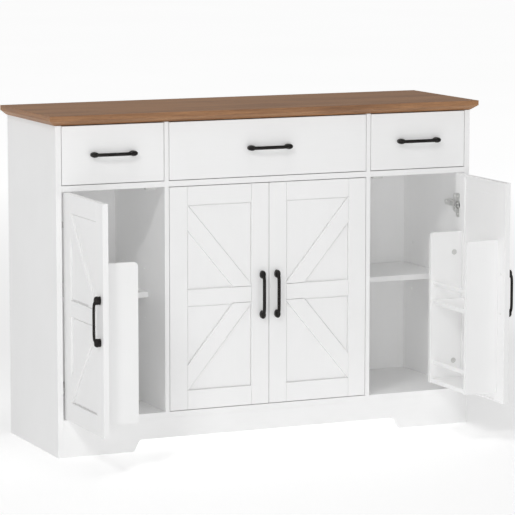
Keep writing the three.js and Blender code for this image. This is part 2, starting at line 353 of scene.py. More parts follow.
def wood_top():
    """Brown wood-grain foil: bands and figure along the board, and short open pores."""
    look = Look("wood_top", 0.5)
    facing = look.nodes.new("ShaderNodeSeparateXYZ")
    look.link(look.nodes.new("ShaderNodeTexCoord").outputs["Normal"], facing.inputs["Vector"])
    end = look.remap(look.math("ABSOLUTE", facing.outputs["X"], 0.0), 0.45, 0.55, 0.0, 1.0)
    apart = look.nodes.new("ShaderNodeSeparateXYZ")
    look.link(look.place, apart.inputs["Vector"])
    turned_place = look.nodes.new("ShaderNodeCombineXYZ")
    for target, source in (("X", "Y"), ("Y", "X"), ("Z", "Z")):
        look.link(apart.outputs[source], turned_place.inputs[target])
    # On the board's two ends the grain runs along the end.
    place = look.mix(end, look.place, turned_place.outputs["Vector"])
    bands = look.noise(look.stretched((0.45, 7.0, 7.0), place), 2.6, detail=3.0, distortion=0.6)
    figure_place = look.stretched((0.5, 9.0, 9.0), place)
    figure = look.noise(figure_place, 7.0, detail=6.0, roughness=0.6, distortion=1.4)
    streaks = look.noise(look.stretched((1.2, 60.0, 60.0), place), 9.0, detail=5.0, roughness=0.7)
    pores = look.noise(look.stretched((9.0, 330.0, 330.0), place), 4.0, detail=2.0, roughness=0.8)
    tones = look.math("ADD", look.math("MULTIPLY", bands, 0.3), look.math("MULTIPLY", figure, 0.35))
    tones = look.math("ADD", tones, look.math("MULTIPLY", streaks, 0.35))
    base = look.ramp(tones, [
        (0.30, (0.147, 0.067, 0.031)),
        (0.43, (0.262, 0.125, 0.053)),
        (0.52, (0.362, 0.178, 0.076)),
        (0.68, (0.462, 0.243, 0.110)),
    ])
    open_pores = look.remap(pores, 0.57, 0.70, 0.0, 0.70)
    look.color(look.mix(open_pores, base, (0.085, 0.045, 0.028)))
    look.roughness(look.remap(streaks, 0.3, 0.7, 0.42, 0.58))
    streak_height = look.math("MULTIPLY", streaks, 0.5)
    pore_depth = look.math("MULTIPLY", open_pores, 0.9)
    look.bump(look.math("SUBTRACT", streak_height, pore_depth), 0.12 * MM, 0.7)
    return look.material


def bronze():
    """Near-black oil-rubbed bronze with a fine cast skin and a warm rub on its raised edges."""
    look = Look("oil_rubbed_bronze", 0.42, 0.75)
    patina = look.noise(look.place, 120.0, detail=5.0, roughness=0.65)
    skin = look.ramp(patina, [(0.35, (0.012, 0.011, 0.011)), (0.65, (0.030, 0.027, 0.025))])
    geometry = look.nodes.new("ShaderNodeNewGeometry")
    raised = look.remap(geometry.outputs["Pointiness"], 0.525, 0.60, 0.0, 0.55)
    rubbed = look.math("MULTIPLY", raised, look.remap(patina, 0.4, 0.6, 0.2, 1.0))
    look.color(look.mix(rubbed, skin, (0.24, 0.115, 0.055)))
    look.roughness(look.remap(patina, 0.3, 0.7, 0.36, 0.52))
    look.bump(look.noise(look.place, 900.0, detail=3.0), 0.06 * MM, 0.5)
    return look.material


def zinc_steel():
    """Bright zinc plate: fine brushing and a slightly mottled shine."""
    look = Look("zinc_steel", 0.3, 1.0)
    brush = look.noise(look.stretched((300.0, 300.0, 18.0)), 6.0, detail=3.0, roughness=0.7)
    mottle = look.noise(look.place, 60.0, detail=3.0)
    look.color(look.ramp(mottle, [(0.3, (0.76, 0.76, 0.75)), (0.7, (0.88, 0.88, 0.87))]))
    look.roughness(look.remap(brush, 0.3, 0.7, 0.22, 0.40))
    look.bump(brush, 0.02 * MM, 0.5)
    return look.material


def white_plastic():
    """Off-white plastic of the small fittings, faintly speckled."""
    look = Look("white_plastic", 0.35)
    speck = look.noise(look.place, 420.0, detail=2.0)
    look.color(look.ramp(speck, [(0.3, (0.60, 0.60, 0.585)), (0.7, (0.66, 0.66, 0.65))]))
    look.roughness(look.remap(speck, 0.3, 0.7, 0.30, 0.42))
    look.bump(speck, 0.03 * MM, 0.4)
    return look.material


UPRIGHT_WHITE = white_paint("white_board_upright", (1.0, 1.0, 0.05))
LEVEL_WHITE = white_paint("white_board_level", (0.05, 1.0, 1.0))
DEPTH_WHITE = white_paint("white_board_deep", (1.0, 0.05, 1.0))
BACK_WHITE = white_paint("white_back_board", (1.0, 1.0, 0.4))
WOOD = wood_top()
BRONZE = bronze()
STEEL = zinc_steel()
PLASTIC = white_plastic()


# ---- places taken from the frame
def body_of(node):
    """The body that carries a CAD node."""
    bodies = frame["record"]["behaviour"]["bodies"]
    return next(name for name, members in bodies.items() if node in members)


class Leaf:
    """A door leaf's own directions: u from the hinge edge, z up, d from its front face inwards."""

    def __init__(self, door):
        low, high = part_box(f"door_{door}")
        self.door = door
        self.body = body_of(f"door_{door}")
        self.side = -1 if low.x + high.x < 0 else 1
        self.bottom = low.z
        self.top = high.z
        hinge_x = low.x if self.side < 0 else high.x
        stands_open = high.y - low.y > high.x - low.x
        if stands_open:
            self.origin = Vector((hinge_x, high.y, 0))
            self.along = Vector((0, -1, 0))
            self.inward = Vector((-self.side, 0, 0))
            self.width = high.y - low.y
            self.thickness = high.x - low.x
        else:
            self.origin = Vector((hinge_x, low.y, 0))
            self.along = Vector((-self.side, 0, 0))
            self.inward = Vector((0, 1, 0))
            self.width = high.x - low.x
            self.thickness = high.y - low.y
        self.hinge_heights = [node_middle(f"hinge_arm_{door}_{level}").z for level in LEVELS]

    def point(self, u, z, d):
        """The place of shapes drawn on the leaf's face."""
        return self.origin + self.along * u + self.inward * d + Vector((0, 0, z))

    def up(self, u, d, z):
        """The place of sections that run upwards."""
        return self.point(u, z, d)

    def across(self, z, d, u):
        """The place of sections that run across the leaf."""
        return self.point(u, z, d)


def node_middle(node):
    low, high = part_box(node)
    return (low + high) / 2


# ---- small hardware
SCREW_HEIGHT = 1.7 * MM
HANDLE_SCREW = 2.7 * MM  # radii
HINGE_SCREW = 3.6 * MM
CROSS_LENGTH = 0.62  # of the head's radius
CROSS_WIDTH = 0.17
CROSS_DEPTH = 1.2 * MM


def screw_head(name, centre, axis, radius):
    """A domed head with a cross recess, seated on centre and facing along axis."""
    turn = Vector((0, 0, 1)).rotation_difference(Vector(axis)).to_matrix()
    dome = [(0, 0), (radius, 0), (radius, 0.3 * SCREW_HEIGHT)]
    dome += [(radius * 0.86, 0.72 * SCREW_HEIGHT), (radius * 0.55, 0.95 * SCREW_HEIGHT), (0, SCREW_HEIGHT)]
    head = turned(name, dome, centre, axis, sides=20)

    def place(a, b, c):
        return Vector(centre) + turn @ Vector((a, b, c))

    reach, half = radius * CROSS_LENGTH, radius * CROSS_WIDTH
    base, top = SCREW_HEIGHT - CROSS_DEPTH, SCREW_HEIGHT + MM
    outline = [
        (-reach, -half), (-half, -half), (-half, -reach), (half, -reach), (half, -half), (reach, -half),
        (reach, half), (half, half), (half, reach), (-half, reach), (-half, half), (-reach, half),
    ]
    cut(head, [prism("cross", outline, base, top, place)])
    return smooth(head)


def add_screws(name, spots, axis, radius, body):
    """One piece made of a screw head at each spot."""
    heads = [screw_head("head", spot, axis, radius) for spot in spots]
    finish_piece(join(name, heads), body, STEEL)


def cam_cover(name, centre, axis):
    """A thin push-in cap with a raised rim."""
    radius, rise = CAM_COVER, 0.9 * MM
    lip = 0.9 * radius
    profile = [(0, 0), (radius, 0), (radius, 0.5 * rise), (0.97 * radius, rise), (lip, rise)]
    profile += [(0.87 * radius, 0.55 * rise), (0, 0.5 * rise)]
    return smooth(turned(name, profile, centre, axis, sides=36))


# ---- boards
def bore(name, centre, axis, radius, depth):
    """A cutter that starts just outside centre and goes in against axis."""
    profile = [(0, -depth), (radius, -depth), (radius, MM), (0, MM)]
    return turned(name, profile, centre, axis, sides=24)


def carry_boards():
    """CAD boards that keep their shape get softened edges and a painted finish."""
    grain = {
        "bottom_panel": LEVEL_WHITE, "apron": LEVEL_WHITE, "back_panel": BACK_WHITE,
        "centre_leg": UPRIGHT_WHITE, "tabletop": WOOD,
    }
    for bay in BAYS:
        grain[f"deck_{bay}"] = LEVEL_WHITE
        grain[f"shelf_{bay}"] = LEVEL_WHITE
        grain[f"drawer_front_{bay}"] = LEVEL_WHITE
    for side in SIDES:
        grain[f"rack_{side}_hinge_side"] = UPRIGHT_WHITE
        grain[f"rack_{side}_free_side"] = UPRIGHT_WHITE
        for level in LEVELS:
            grain[f"rack_{side}_shelf_{level}"] = DEPTH_WHITE
    for node, material in grain.items():
        obj = frame["nodes"][node]
        obj.data.materials.clear()
        obj.data.materials.append(material)
        weld = obj.modifiers.new("weld", "WELD")
        weld.merge_threshold = SAME_PLACE
        soften(obj)


def pin_spots(bay):
    """(y, z) of a bay's holes, its spare rows first. The centre bay's miss the outer bays'."""
    low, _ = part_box(f"shelf_{bay}")
    row_shift, column_shift = (CENTRE_ROW_SHIFT, CENTRE_COLUMN_SHIFT) if bay == "centre" else (0, 0)
    heights = [z + row_shift for z in PIN_ROWS] + [low.z - PIN_HOLE]
    return [(y + column_shift, z) for z in heights for y in PIN_COLUMNS]


def pin_holes(x, facing, bay, depth=PIN_HOLE_DEPTH):
    """Cutters for one wall's holes; facing is the direction out of the wall."""
    return [bore("hole", (x, y, z), (facing, 0, 0), PIN_HOLE, depth) for y, z in pin_spots(bay)]


def make_bored_board(node, holes):
    """Stands in for a CAD board."""
    low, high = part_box(node)
    panel = board(f"{node}_bored", low, high)
    cut(panel, holes)
    finish_piece(soften(panel), "carcass", UPRIGHT_WHITE)
    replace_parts(panel, node)


def make_uprights():
    """Side panels and dividers, bored for shelf pins on each face that a shelf can use."""
    for side, sign in zip(SIDES, (-1, 1)):
        low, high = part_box(f"side_panel_{side}")
        inner_x = high.x if sign < 0 else low.x
        make_bored_board(f"side_panel_{side}", pin_holes(inner_x, -sign, side))
        low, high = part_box(f"divider_{side}")
        outer_x, centre_x = (low.x, high.x) if sign < 0 else (high.x, low.x)
        holes = pin_holes(outer_x, sign, side)
        holes += pin_holes(centre_x, -sign, "centre", CENTRE_HOLE_DEPTH)
        make_bored_board(f"divider_{side}", holes)


def make_shelf_pins():
    """Four plated pins under each shelf, each with a collar against its wall."""
    pin = PIN_HOLE * 0.96
    collar = PIN_HOLE * PIN_COLLAR
    profile = [
        (0, -3 * MM), (pin, -3 * MM), (pin, 0.1 * MM), (collar, 0.1 * MM), (collar, 0.9 * MM),
        (pin, 0.9 * MM), (pin, PIN_REACH - 0.5 * MM), (0.8 * pin, PIN_REACH), (0, PIN_REACH),
    ]
    for bay in BAYS:
        low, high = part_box(f"shelf_{bay}")
        under_shelf = pin_spots(bay)[-len(PIN_COLUMNS):]
        pins = []
        for x, facing in ((low.x - MM, 1), (high.x + MM, -1)):
            for y, z in under_shelf:
                pins.append(smooth(turned("pin", profile, (x, y, z), (facing, 0, 0), sides=20)))
        finish_piece(join(f"shelf_pins_{bay}", pins), "carcass", STEEL)


# ---- doors
def shrunk(outline, margin):
    """A convex outline with every side moved inwards by margin."""
    count = len(outline)
    middle = sum((Vector(point) for point in outline), Vector((0, 0))) / count
    sides = []
    for i in range(count):
        start, end = Vector(outline[i]), Vector(outline[(i + 1) % count])
        normal = Vector((start.y - end.y, end.x - start.x)).normalized()
        if normal.dot(middle - start) < 0:
            normal = -normal
        sides.append((normal, normal.dot(start) + margin))
    corners = []
    for (a, distance_a), (b, distance_b) in zip(sides, sides[1:] + sides[:1]):
        area = a.x * b.y - a.y * b.x
        corners.append((
            (distance_a * b.y - distance_b * a.y) / area,
            (a.x * distance_b - b.x * distance_a) / area,
        ))
    return corners


def make_leaf(leaf):
    """Two stiles, three rails and two braces round a recessed field, with fine seams between them."""
    name = f"door_{leaf.door}"
    u0, u1 = STILE, leaf.width - STILE
    profile = [
        (0, 0), (STILE, 0), (STILE, FIELD_BACK), (BACK_STILE, FIELD_BACK),
        (BACK_STILE, leaf.thickness), (0, leaf.thickness),
    ]
    hinge_stile = prism(f"{name}_hinge_stile", profile, leaf.bottom, leaf.top, leaf.up)
    cups = []
    for z in leaf.hinge_heights:
        mouth = leaf.point(CUP_U, z, leaf.thickness)
        cups.append(bore("cup_bore", mouth, leaf.inward, CUP_RADIUS + CUP_CLEARANCE, CUP_DEPTH))
    cut(hinge_stile, cups)
    mirrored = [(leaf.width - u, d) for u, d in profile]
    free_stile = prism(f"{name}_free_stile", mirrored, leaf.bottom, leaf.top, leaf.up)
    pieces = [hinge_stile, free_stile]

    middle = (leaf.bottom + leaf.top) / 2 + MID_HEIGHT_SHIFT
    field_low = leaf.bottom + BOTTOM_RAIL - FIELD_REBATE
    field_high = leaf.top - TOP_RAIL + FIELD_REBATE
    backing_front = FIELD_FRONT + QUIRK_DEPTH
    rails = (
        ("bottom_rail", leaf.bottom, leaf.bottom + BOTTOM_RAIL, field_low, 1),
        ("top_rail", leaf.top, leaf.top - TOP_RAIL, field_high, -1),
    )
    for label, outer, inner, rebate, way in rails:
        section = [
            (outer, 0), (inner, 0), (inner, backing_front), (rebate, backing_front),
            (rebate, FIELD_BACK), (outer + way * LIP, FIELD_BACK), (outer + way * LIP, leaf.thickness),
            (outer, leaf.thickness),
        ]
        pieces.append(prism(f"{name}_{label}", section, u0 + SEAM, u1 - SEAM, leaf.across))
    backing_low, backing_high = (u0, field_low, backing_front), (u1, field_high, FIELD_BACK)
    pieces.append(board(f"{name}_backing", backing_low, backing_high, leaf.point))

    strip = backing_front + STRIP_SINK
    rail_low, rail_high = middle - MID_RAIL / 2 + SEAM, middle + MID_RAIL / 2 - SEAM
    mid_low, mid_high = (u0 + SEAM, rail_low, 0), (u1 - SEAM, rail_high, strip)
    pieces.append(board(f"{name}_mid_rail", mid_low, mid_high, leaf.point))
    for label, outer, way in (
        ("upper_brace", leaf.top - TOP_RAIL, 1),
        ("lower_brace", leaf.bottom + BOTTOM_RAIL, -1),
    ):
        near = middle + way * (MID_RAIL / 2 + SEAM)
        outline = [
            (u0 + SEAM, outer - way * SEAM), (u1 - SEAM, near + way * BRACE_TIP), (u1 - SEAM, near),
            (u1 - BRACE_FOOT, near), (u0 + SEAM, outer - way * BRACE_DROP),
        ]
        pieces.append(prism(f"{name}_{label}", outline, 0, strip, leaf.point))
        free_field = [(u0, outer), (u1, outer), (u1, near + way * BRACE_TIP)]
        hinge_field = [(u0, outer - way * BRACE_DROP), (u1 - BRACE_FOOT, near), (u0, near)]
        for place, field in (("free", free_field), ("hinge", hinge_field)):
            panel = shrunk(field, QUIRK)
            field_name = f"{name}_{label}_{place}_field"
            pieces.append(prism(field_name, panel, FIELD_FRONT, strip, leaf.point))

    for piece in pieces:
        finish_piece(soften(piece), leaf.body, UPRIGHT_WHITE)
    for label in ("top_rail", "bottom_rail", "mid_rail"):
        rail = bpy.data.objects[f"{name}_{label}"]
        rail.data.materials[0] = LEVEL_WHITE if leaf.inward.y else DEPTH_WHITE
    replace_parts(hinge_stile, name)


# ---- handles
HANDLE_SPACING = 108 * MM
HANDLE_VOXEL = 0.7 * MM
BAR_STEPS = 48
BAR_SIDES = 20
BAR_REACH = 17.75 * MM  # the bar's middle line above the door
BAR_END = 12 * MM  # and at its ends, inside the feet
BAR_FLATNESS = 8
BAR_THICK = 3.45 * MM  # half sizes of the bar, with an allowance for the final relaxing
BAR_WIDE = 4.75 * MM
FOOT_RADIUS = 7.3 * MM
FOOT_STRETCH = 1.55
FOOT_PROFILE = (
    (0.94, 0.0), (0.98, 1.6), (0.94, 3.0), (0.92, 4.4), (0.97, 6.6), (1.00, 8.6), (0.98, 10.8),
    (0.91, 13.0), (0.78, 15.0), (0.58, 16.3), (0.30, 16.9),
)  # share of the radius, millimetres above the door
FOOT_TOP = 17 * MM
RELAX_FACTOR = 0.5
RELAX_STEPS = 5


def handle_bar():
    """The pull's bar: nearly flat, then diving into its feet."""
    rows = []
    for k in range(BAR_STEPS + 1):
        share = 2 * k / BAR_STEPS - 1
        out = BAR_REACH - (BAR_REACH - BAR_END) * abs(share) ** BAR_FLATNESS
        rows.append((share * HANDLE_SPACING / 2, -out))
    vertices, faces = [], []
    for index, (z, y) in enumerate(rows):
        before, after = rows[max(index - 1, 0)], rows[min(index + 1, BAR_STEPS)]
        along = Vector((0, after[1] - before[1], after[0] - before[0])).normalized()
        outward = Vector((0, along.z, -along.y))
        for k in range(BAR_SIDES):
            angle = 2 * math.pi * k / BAR_SIDES
            sideways = Vector((BAR_WIDE * math.cos(angle), 0, 0))
            vertices.append(Vector((0, y, z)) + sideways + outward * BAR_THICK * math.sin(angle))
    for row in range(BAR_STEPS):
        for k in range(BAR_SIDES):
            after = (k + 1) % BAR_SIDES
            a, b = row * BAR_SIDES, (row + 1) * BAR_SIDES
            faces.append((a + k, a + after, b + after, b + k))
    faces.append(tuple(range(BAR_SIDES)))
    faces.append(tuple(range(BAR_STEPS * BAR_SIDES, (BAR_STEPS + 1) * BAR_SIDES)))
    return mesh_object("bar", vertices, faces)


def handle_mesh():
    """A cast pull along Z on block feet at y = 0, standing out towards -Y, fused and rounded."""
    skirt = [(share * FOOT_RADIUS, rise * MM) for share, rise in FOOT_PROFILE]
    profile = [(0, 0), *skirt, (0, FOOT_TOP)]
    parts = [handle_bar()]
    for end in (-HANDLE_SPACING / 2, HANDLE_SPACING / 2):
        foot = turned("foot", profile, (0, 0, 0), (0, -1, 0), sides=40)
        for vertex in foot.data.vertices:
            vertex.co.z = vertex.co.z * FOOT_STRETCH + end
        parts.append(foot)
    pull = join("pull", parts)
    remesh = pull.modifiers.new("fuse", "REMESH")
    remesh.mode = "VOXEL"
    remesh.voxel_size = HANDLE_VOXEL
    remesh.adaptivity = 0.0
    relax = pull.modifiers.new("relax", "SMOOTH")
    relax.factor = RELAX_FACTOR
    relax.iterations = RELAX_STEPS
    apply_modifiers(pull)
    smooth(pull, sharp=180)
    mesh = pull.data
    bpy.data.objects.remove(pull)
    return mesh


def make_handles():
    """One pull for each drawer front and door, where its CAD node is."""
    template = handle_mesh()
    lying = Matrix.Rotation(math.pi / 2, 4, "Y")
    for bay in BAYS:
        add_handle(template, f"drawer_handle_{bay}", lying, Vector((0, -1, 0)))
    for door in DOORS:
        out = -Leaf(door).inward
        turn = Vector((0, -1, 0)).rotation_difference(out).to_matrix().to_4x4()
        add_handle(template, f"door_handle_{door}", turn, out)


def add_handle(template, node, turn, out):
    """Seats a copy of the pull where its CAD node stands, facing out."""
    low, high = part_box(node)
    seat = (low + high) / 2
    for axis in range(2):
        if abs(out[axis]) > 0.5:
            seat[axis] = high[axis] if out[axis] < 0 else low[axis]
    mesh = template.copy()
    mesh.transform(Matrix.Translation(seat) @ turn)
    pull = add_object(f"{node}_cast", mesh)
    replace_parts(finish_piece(pull, body_of(node), BRONZE), node)


def make_handle_screws():
    """Two screw heads behind each pull."""
    half = HANDLE_SPACING / 2
    for bay in BAYS:
        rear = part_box(f"drawer_front_{bay}")[1].y
        handle = node_middle(f"drawer_handle_{bay}")
        spots = [(handle.x + way * half, rear, handle.z) for way in (-1, 1)]
        body = body_of(f"drawer_front_{bay}")
        add_screws(f"drawer_{bay}_handle_screws", spots, (0, 1, 0), HANDLE_SCREW, body)
    for door in DOORS:
        leaf = Leaf(door)
        handle = node_middle(f"door_handle_{door}")
        u = (handle - leaf.origin).dot(leaf.along)
        spots = [leaf.point(u, handle.z + way * half, leaf.thickness) for way in (-1, 1)]
        add_screws(f"door_{door}_handle_screws", spots, leaf.inward, HANDLE_SCREW, leaf.body)


# ---- concealed hinges
ARM_WEB = 15 * MM  # how far the arm's face stands off the wall
ARM_SHEET = 1.4 * MM
ARM_HALF = 8 * MM  # half its height
ARM_LIP = 2.6 * MM  # between the wall and the channel's open edges
RIB_HALF = 2.2 * MM
RIB_FROM_FRONT = 6 * MM
RIB_FROM_TAIL = 12 * MM
RIB_RISE = 0.5 * MM
RIB_SINK = 0.2 * MM
KNUCKLE_START = 8 * MM  # from the wall
KNUCKLE_HALF = 7.4 * MM
KNUCKLE_LENGTH = 3 * MM
CHEEK_ROOT = (12.6 * MM, 16.5 * MM)  # from the wall, where the cheeks leave the arm
CHEEK_HEIGHTS = (4.6 * MM, 6.0 * MM)  # a cheek's two faces, from the arm's middle
PIN_OUT = 15.8 * MM  # the arm's pin from the door's turning axis, away from the wall
PIN_BEHIND = 6.7 * MM  # and towards the back
PIN_END = 1.6 * MM
RIVET = ((0, 0), (1.3 * MM, 0), (1.1 * MM, 0.5 * MM), (0, 0.6 * MM))
PLATE_FROM_FRONT = (18 * MM, 36 * MM)  # the mounting plate's two edges
SADDLE_HALF = 5.8 * MM
SADDLE_REACH = 8 * MM  # past the plate's edges
SADDLE_GAP = MM  # under the arm
WING_HALF = 26.5 * MM
WING_THICKNESS = 2.2 * MM
WING_SCREW_SHIFT = 1.5 * MM
ARM_SCREW_FRONT = 22 * MM
ARM_SCREW_BACK = 4 * MM
ROUND_STEPS = 16

CUP_CORNER = MM  # chamfer round the cup's bottom
FLANGE_HALF = 33 * MM
FLANGE_WIDTH = 22 * MM
FLANGE_SHEET = 1.2 * MM
FLANGE_CORNER = 5 * MM
FLANGE_SHIFT = 0.5 * MM  # of its middle, from the cup's towards the hinge edge
FLANGE_SCREW_INSET = 8.5 * MM
LINK_DEPTH = 9.5 * MM  # how far the link reaches down the cup
LINK_TIP = (0.3 * MM, 2.3 * MM)  # from the hinge edge, and above the leaf's back
LINK_TIP_RADIUS = 1.85 * MM
LINK_HEIGHTS = ((-4.2 * MM, -2.8 * MM), (2.8 * MM, 4.2 * MM))
SPRING_EDGE = 0.6 * MM


def make_hinge_arm(door, level):
    """The cabinet half: mounting plate with two wings, channel arm, cranked cheeks and screws."""
    node = f"hinge_arm_{door}_{level}"
    low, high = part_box(node)
    side = -1 if "left" in door else 1
    wall = low.x if side < 0 else high.x
    height = (low.z + high.z) / 2
    joint = next(j for j in frame["joints"] if j["child"] == body_of(f"door_{door}"))
    pivot_out = abs(joint["pos_m"][0] - wall)
    pivot_y = joint["pos_m"][1]
    front, back = low.y, high.y

    # p is the distance from the wall, z the height above the arm's middle
    def sideways(p, y, z):
        return Vector((wall - side * p, y, height + z))

    def lengthwise(p, z, y):
        return sideways(p, y, z)

    def flat(y, z, p):
        return sideways(p, y, z)

    inner = ARM_WEB - ARM_SHEET
    round_start = back - ARM_HALF
    channel = [
        (ARM_LIP, -ARM_HALF), (ARM_WEB, -ARM_HALF), (ARM_WEB, ARM_HALF), (ARM_LIP, ARM_HALF),
        (ARM_LIP, ARM_HALF - ARM_SHEET), (inner, ARM_HALF - ARM_SHEET),
        (inner, -ARM_HALF + ARM_SHEET), (ARM_LIP, -ARM_HALF + ARM_SHEET),
    ]
    parts = [soften(prism("channel", channel, front, round_start, lengthwise), FINE_EDGE)]
    tail = arc((round_start, 0), ARM_HALF, -90, 90, ROUND_STEPS)
    parts.append(soften(prism("tail", tail, inner, ARM_WEB, flat), FINE_EDGE))
    rib_low = (front + RIB_FROM_FRONT, -RIB_HALF, ARM_WEB - RIB_SINK)
    rib_high = (round_start - RIB_FROM_TAIL, RIB_HALF, ARM_WEB + RIB_RISE)
    parts.append(soften(board("rib", rib_low, rib_high, flat), FINE_EDGE))
    knuckle_low = (KNUCKLE_START, front, -KNUCKLE_HALF)
    knuckle_high = (ARM_WEB, front + KNUCKLE_LENGTH, KNUCKLE_HALF)
    parts.append(soften(board("knuckle", knuckle_low, knuckle_high, sideways), FINE_EDGE))

    pin_p, pin_y = pivot_out + PIN_OUT, pivot_y + PIN_BEHIND
    root_y = front + MM
    cheek = [(CHEEK_ROOT[0], root_y), *arc((pin_p, pin_y), PIN_END, 200, 395, 10), (CHEEK_ROOT[1], root_y)]
    for way in (-1, 1):
        z_low, z_high = sorted(way * z for z in CHEEK_HEIGHTS)
        parts.append(soften(prism("cheek", cheek, z_low, z_high, sideways), THIN_EDGE))
        seat = sideways(pin_p, pin_y, way * CHEEK_HEIGHTS[1])
        parts.append(turned("rivet", RIVET, seat, (0, 0, way), sides=16))

    plate_front, plate_back = (front + edge for edge in PLATE_FROM_FRONT)
    plate_middle, plate_half = (plate_front + plate_back) / 2, (plate_back - plate_front) / 2
    wing_round = WING_HALF - plate_half
    wings = arc((plate_middle, wing_round), plate_half, 0, 180, ROUND_STEPS)
    wings += arc((plate_middle, -wing_round), plate_half, 180, 360, ROUND_STEPS)
    parts.append(soften(prism("wings", wings, 0, WING_THICKNESS, flat), FINE_EDGE))
    saddle_low = (plate_front - SADDLE_REACH, -SADDLE_HALF, 0)
    saddle_high = (plate_back + SADDLE_REACH, SADDLE_HALF, inner - SADDLE_GAP)
    parts.append(soften(board("saddle", saddle_low, saddle_high, flat), FINE_EDGE))
    away = (-side, 0, 0)
    for way in (-1, 1):
        spot = flat(plate_middle, way * (wing_round + WING_SCREW_SHIFT), WING_THICKNESS)
        parts.append(screw_head("wing_screw", spot, away, HINGE_SCREW))
    for y in (round_start - ARM_SCREW_BACK, front + ARM_SCREW_FRONT):
        parts.append(screw_head("arm_screw", flat(y, 0, ARM_WEB), away, HINGE_SCREW))
    arm = join(f"{node}_steel", parts)
    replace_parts(finish_piece(arm, "carcass", STEEL), node)


def make_hinge_cup(leaf, level, height):
    """The door half: a pressed cup in its bore, the flange screwed to the stile, and the link."""
    mouth = leaf.thickness
    inside = CUP_RADIUS - CUP_WALL

    def flat(u, z, d):
        return leaf.point(u, height + z, d)

    def sideways(u, d, z):
        return leaf.point(u, height + z, d)

    bottom, floor = -CUP_DEPTH, -CUP_DEPTH + CUP_WALL
    cup = [
        (0, bottom), (CUP_RADIUS - CUP_CORNER, bottom), (CUP_RADIUS, bottom + CUP_CORNER), (CUP_RADIUS, 0),
        (inside, 0), (inside, bottom + 1.4 * MM), (inside - 0.8 * MM, floor), (0, floor),
    ]
    parts = [smooth(turned("cup", cup, flat(CUP_U, 0, mouth), leaf.inward, sides=40))]
    corner = FLANGE_CORNER
    across, upward = FLANGE_WIDTH / 2 - corner, FLANGE_HALF - corner
    middle = CUP_U - FLANGE_SHIFT
    outline = [
        *arc((middle + across, upward), corner, 0, 90, 6),
        *arc((middle - across, upward), corner, 90, 180, 6),
        *arc((middle - across, -upward), corner, 180, 270, 6),
        *arc((middle + across, -upward), corner, 270, 360, 6),
    ]
    flange = prism("flange", outline, mouth + 0.02 * MM, mouth + FLANGE_SHEET, flat)
    opening = [(0, -2 * MM), (inside, -2 * MM), (inside, 3 * MM), (0, 3 * MM)]
    cut(flange, [turned("opening", opening, flat(CUP_U, 0, mouth), leaf.inward, sides=40)])
    parts.append(soften(flange, FINE_EDGE))
    for way in (-1, 1):
        spot = flat(middle, way * (FLANGE_HALF - FLANGE_SCREW_INSET), mouth + FLANGE_SHEET)
        parts.append(screw_head("flange_screw", spot, leaf.inward, HINGE_SCREW))
    foot = mouth - LINK_DEPTH
    tip = (LINK_TIP[0], mouth + LINK_TIP[1])
    link = [
        (20 * MM, foot), (20 * MM, mouth), (17.5 * MM, mouth + 3.6 * MM),
        *arc(tip, LINK_TIP_RADIUS, 90, 270, 10),
        (4 * MM, mouth + 1.3 * MM), (13 * MM, mouth + 1.3 * MM), (15 * MM, mouth - MM), (15 * MM, foot),
    ]
    for z_low, z_high in LINK_HEIGHTS:
        parts.append(soften(prism("link", link, z_low, z_high, sideways), THIN_EDGE))
    spring_low = (15.4 * MM, foot, -2.6 * MM)
    spring_high = (19.6 * MM, mouth + 1.5 * MM, 2.6 * MM)
    parts.append(soften(board("spring", spring_low, spring_high, sideways), SPRING_EDGE))
    piece = join(f"hinge_cup_{leaf.door}_{level}", parts)
    finish_piece(piece, leaf.body, STEEL)


# ---- drawers
RUNNER_SHEET = 1.2 * MM
RUNNER_LIP = 2.2 * MM
SLIDE_HALF = 12 * MM  # half the height of the drawer's own half of a runner
SLIDE_FACE = 12.6 * MM  # from the wall to the drawer's half
BALL = 1.6 * MM
BALL_PITCH = 9 * MM
BALL_START = 6 * MM
RUNNER_SCREW_FRONT = 37 * MM
RUNNER_SCREW_BACK = 30 * MM
SLIDE_INNER = 3.4 * MM  # from the wall to the open edges of the drawer's half
NOSE_INSET = 3 * MM  # of the slide's plastic nose from its upper and lower edge
NOSE_LENGTH = 5 * MM


def make_drawer_box(bay):
    """Sides, back and bottom panel as separate boards, with covers on the front's cams."""
    node = f"drawer_box_{bay}"
    low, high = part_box(node)
    body = body_of(node)
    floor = low.z + DRAWER_BOTTOM_LIFT
    t = DRAWER_BOARD
    boards = {
        "left": ((low.x, low.y, low.z), (low.x + t, high.y, high.z)),
        "right": ((high.x - t, low.y, low.z), (high.x, high.y, high.z)),
        "back": ((low.x + t, high.y - t, low.z), (high.x - t, high.y, high.z)),
        "bottom": ((low.x + t / 2, low.y, floor), (high.x - t / 2, high.y - t / 2, floor + DRAWER_BOTTOM)),
    }
    for label, (a, b) in boards.items():
        piece = board(f"drawer_{bay}_{label}", a, b)
        material = DEPTH_WHITE if label in ("left", "right") else LEVEL_WHITE
        finish_piece(soften(piece), body, material)
        if label == "left":
            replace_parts(piece, node)
    covers = []
    for x, facing in ((low.x + t, 1), (high.x - t, -1)):
        for z in (low.z + DRAWER_CAM_HEIGHT, high.z - DRAWER_CAM_DROP):
            covers.append(cam_cover("cover", (x, low.y + DRAWER_CAM_INSET, z), (facing, 0, 0)))
    finish_piece(join(f"drawer_{bay}_cam_covers", covers), body, PLASTIC)


